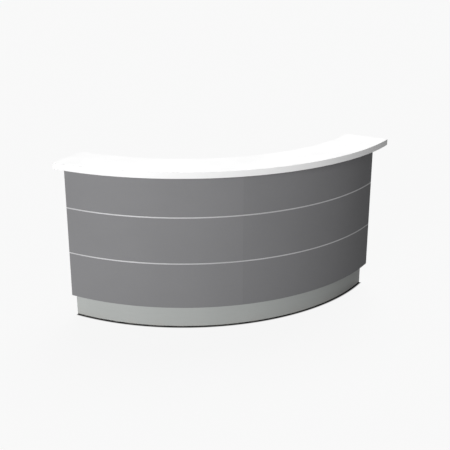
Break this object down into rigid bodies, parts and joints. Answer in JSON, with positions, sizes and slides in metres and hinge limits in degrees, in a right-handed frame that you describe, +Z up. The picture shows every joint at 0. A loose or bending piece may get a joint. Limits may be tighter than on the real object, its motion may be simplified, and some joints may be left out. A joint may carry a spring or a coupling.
{
  "type": "checkout counter",
  "caption": "Curved checkout counter module: white customer ledge over a banded grey front, with a desk-height worktop, drawers, cupboard and knee space behind.",
  "frame": {"origin": "on the floor, under the middle of the counter's bounding box", "axes": "+Z up; the customer stands at -Y and the cashier at +Y; +X is the customer's right"},
  "size_m": [2.2628, 1.0132, 1.1],
  "materials": {
    "white_board": "white laminate on chipboard, satin, with matching edge band",
    "grey_front": "mid-grey laminate on bent board, matte",
    "grey_board": "mid-grey laminate on chipboard, matte",
    "silver_plinth": "silver metal laminate on board",
    "silver_strip": "satin anodised",
    "carcass": "pale grey melamine-faced chipboard",
    "raw_board": "plywood and chipboard, unfaced",
    "grey_steel": "grey powder coat",
    "zinc": "zinc plated",
    "nickel": "satin nickel",
    "black_plastic": "moulded black",
    "nylon": "natural nylon"
  },
  "bodies": {
    "counter": {"bracket_screws": "zinc", "cable_tray": "grey_steel", "cheeks": "grey_board", "counter_top": "white_board", "cupboard_shelf": "carcass", "dividers": "carcass", "end_panels": "grey_board", "front_panel_lower": "grey_front", "front_panel_middle": "grey_front", "front_panel_upper": "grey_front", "grommet_rings": "black_plastic", "hinge_frame_leaves": "nickel", "inlay_strips": "silver_strip", "joint_rails": "raw_board", "ledge_brackets": "zinc", "leg_sockets": "zinc", "organiser_back": "carcass", "organiser_shelves": "carcass", "plinth_fascia": "silver_plinth", "plinth_returns": "silver_plinth", "runner_channels": "grey_steel", "runner_glides": "nylon", "shelf_pins": "zinc", "sole_plate": "carcass", "top_layer_front": "white_board", "top_layer_rear": "white_board", "unit_backs": "carcass", "unit_bottoms": "carcass", "unit_plinths": "silver_plinth", "unit_rails": "carcass", "unit_sides": "carcass", "uprights": "carcass", "worktop": "white_board"},
    "drawer_top": {"drawer_top_front": "grey_board", "drawer_top_box": "grey_steel", "drawer_top_slides": "zinc", "drawer_top_handle": "nickel", "coin_tray": "black_plastic", "lock_barrel": "nickel"},
    "drawer_middle": {"drawer_middle_front": "grey_board", "drawer_middle_box": "grey_steel", "drawer_middle_slides": "zinc", "drawer_middle_handle": "nickel"},
    "drawer_bottom": {"drawer_bottom_front": "grey_board", "drawer_bottom_box": "grey_steel", "drawer_bottom_slides": "zinc", "drawer_bottom_handle": "nickel"},
    "lock": {"lock_cam": "zinc"},
    "cupboard_door": {"door": "grey_board", "hinge_door_leaves": "nickel", "door_handle": "nickel"},
    "cap_left": {"grommet_cap_left": "black_plastic"},
    "cap_right": {"grommet_cap_right": "black_plastic"},
    "foot_front_far_left_leg": {"foot_front_far_left": "zinc"},
    "foot_front_left_leg": {"foot_front_left": "zinc"},
    "foot_front_right_leg": {"foot_front_right": "zinc"},
    "foot_front_far_right_leg": {"foot_front_far_right": "zinc"},
    "foot_drawers_leg": {"foot_drawers": "zinc"},
    "foot_cupboard_leg": {"foot_cupboard": "zinc"}
  },
  "joints": [
    {"name": "drawer_top_slide", "type": "slide", "parent": "counter", "child": "drawer_top", "axis": [0.5184, 0.8551, 0], "range_m": [0, 0.34]},
    {"name": "drawer_middle_slide", "type": "slide", "parent": "counter", "child": "drawer_middle", "axis": [0.5184, 0.8551, 0], "range_m": [0, 0.34]},
    {"name": "drawer_bottom_slide", "type": "slide", "parent": "counter", "child": "drawer_bottom", "axis": [0.5184, 0.8551, 0], "range_m": [0, 0.34]},
    {"name": "lock_turn", "type": "hinge", "parent": "drawer_top", "child": "lock", "pos_m": [-0.32662, 0.2846, 0.697], "axis": [0.5184, 0.8551, 0], "range_deg": [0, 90]},
    {"name": "door_hinge", "type": "hinge", "parent": "counter", "child": "cupboard_door", "pos_m": [0.6119, 0.45637, 0.266], "axis": [0, 0, -1], "range_deg": [0, 110]},
    {"name": "cap_left_turn", "type": "hinge", "parent": "counter", "child": "cap_left", "pos_m": [-0.19711, -0.15104, 0.75], "axis": [0, 0, 1], "continuous": true},
    {"name": "cap_right_turn", "type": "hinge", "parent": "counter", "child": "cap_right", "pos_m": [0.19711, -0.15104, 0.75], "axis": [0, 0, 1], "continuous": true},
    {"name": "foot_front_far_left_level", "type": "slide", "parent": "counter", "child": "foot_front_far_left_leg", "axis": [0, 0, -1], "range_m": [0, 0.02]},
    {"name": "foot_front_left_level", "type": "slide", "parent": "counter", "child": "foot_front_left_leg", "axis": [0, 0, -1], "range_m": [0, 0.02]},
    {"name": "foot_front_right_level", "type": "slide", "parent": "counter", "child": "foot_front_right_leg", "axis": [0, 0, -1], "range_m": [0, 0.02]},
    {"name": "foot_front_far_right_level", "type": "slide", "parent": "counter", "child": "foot_front_far_right_leg", "axis": [0, 0, -1], "range_m": [0, 0.02]},
    {"name": "foot_drawers_level", "type": "slide", "parent": "counter", "child": "foot_drawers_leg", "axis": [0, 0, -1], "range_m": [0, 0.02]},
    {"name": "foot_cupboard_level", "type": "slide", "parent": "counter", "child": "foot_cupboard_leg", "axis": [0, 0, -1], "range_m": [0, 0.02]}
  ]
}
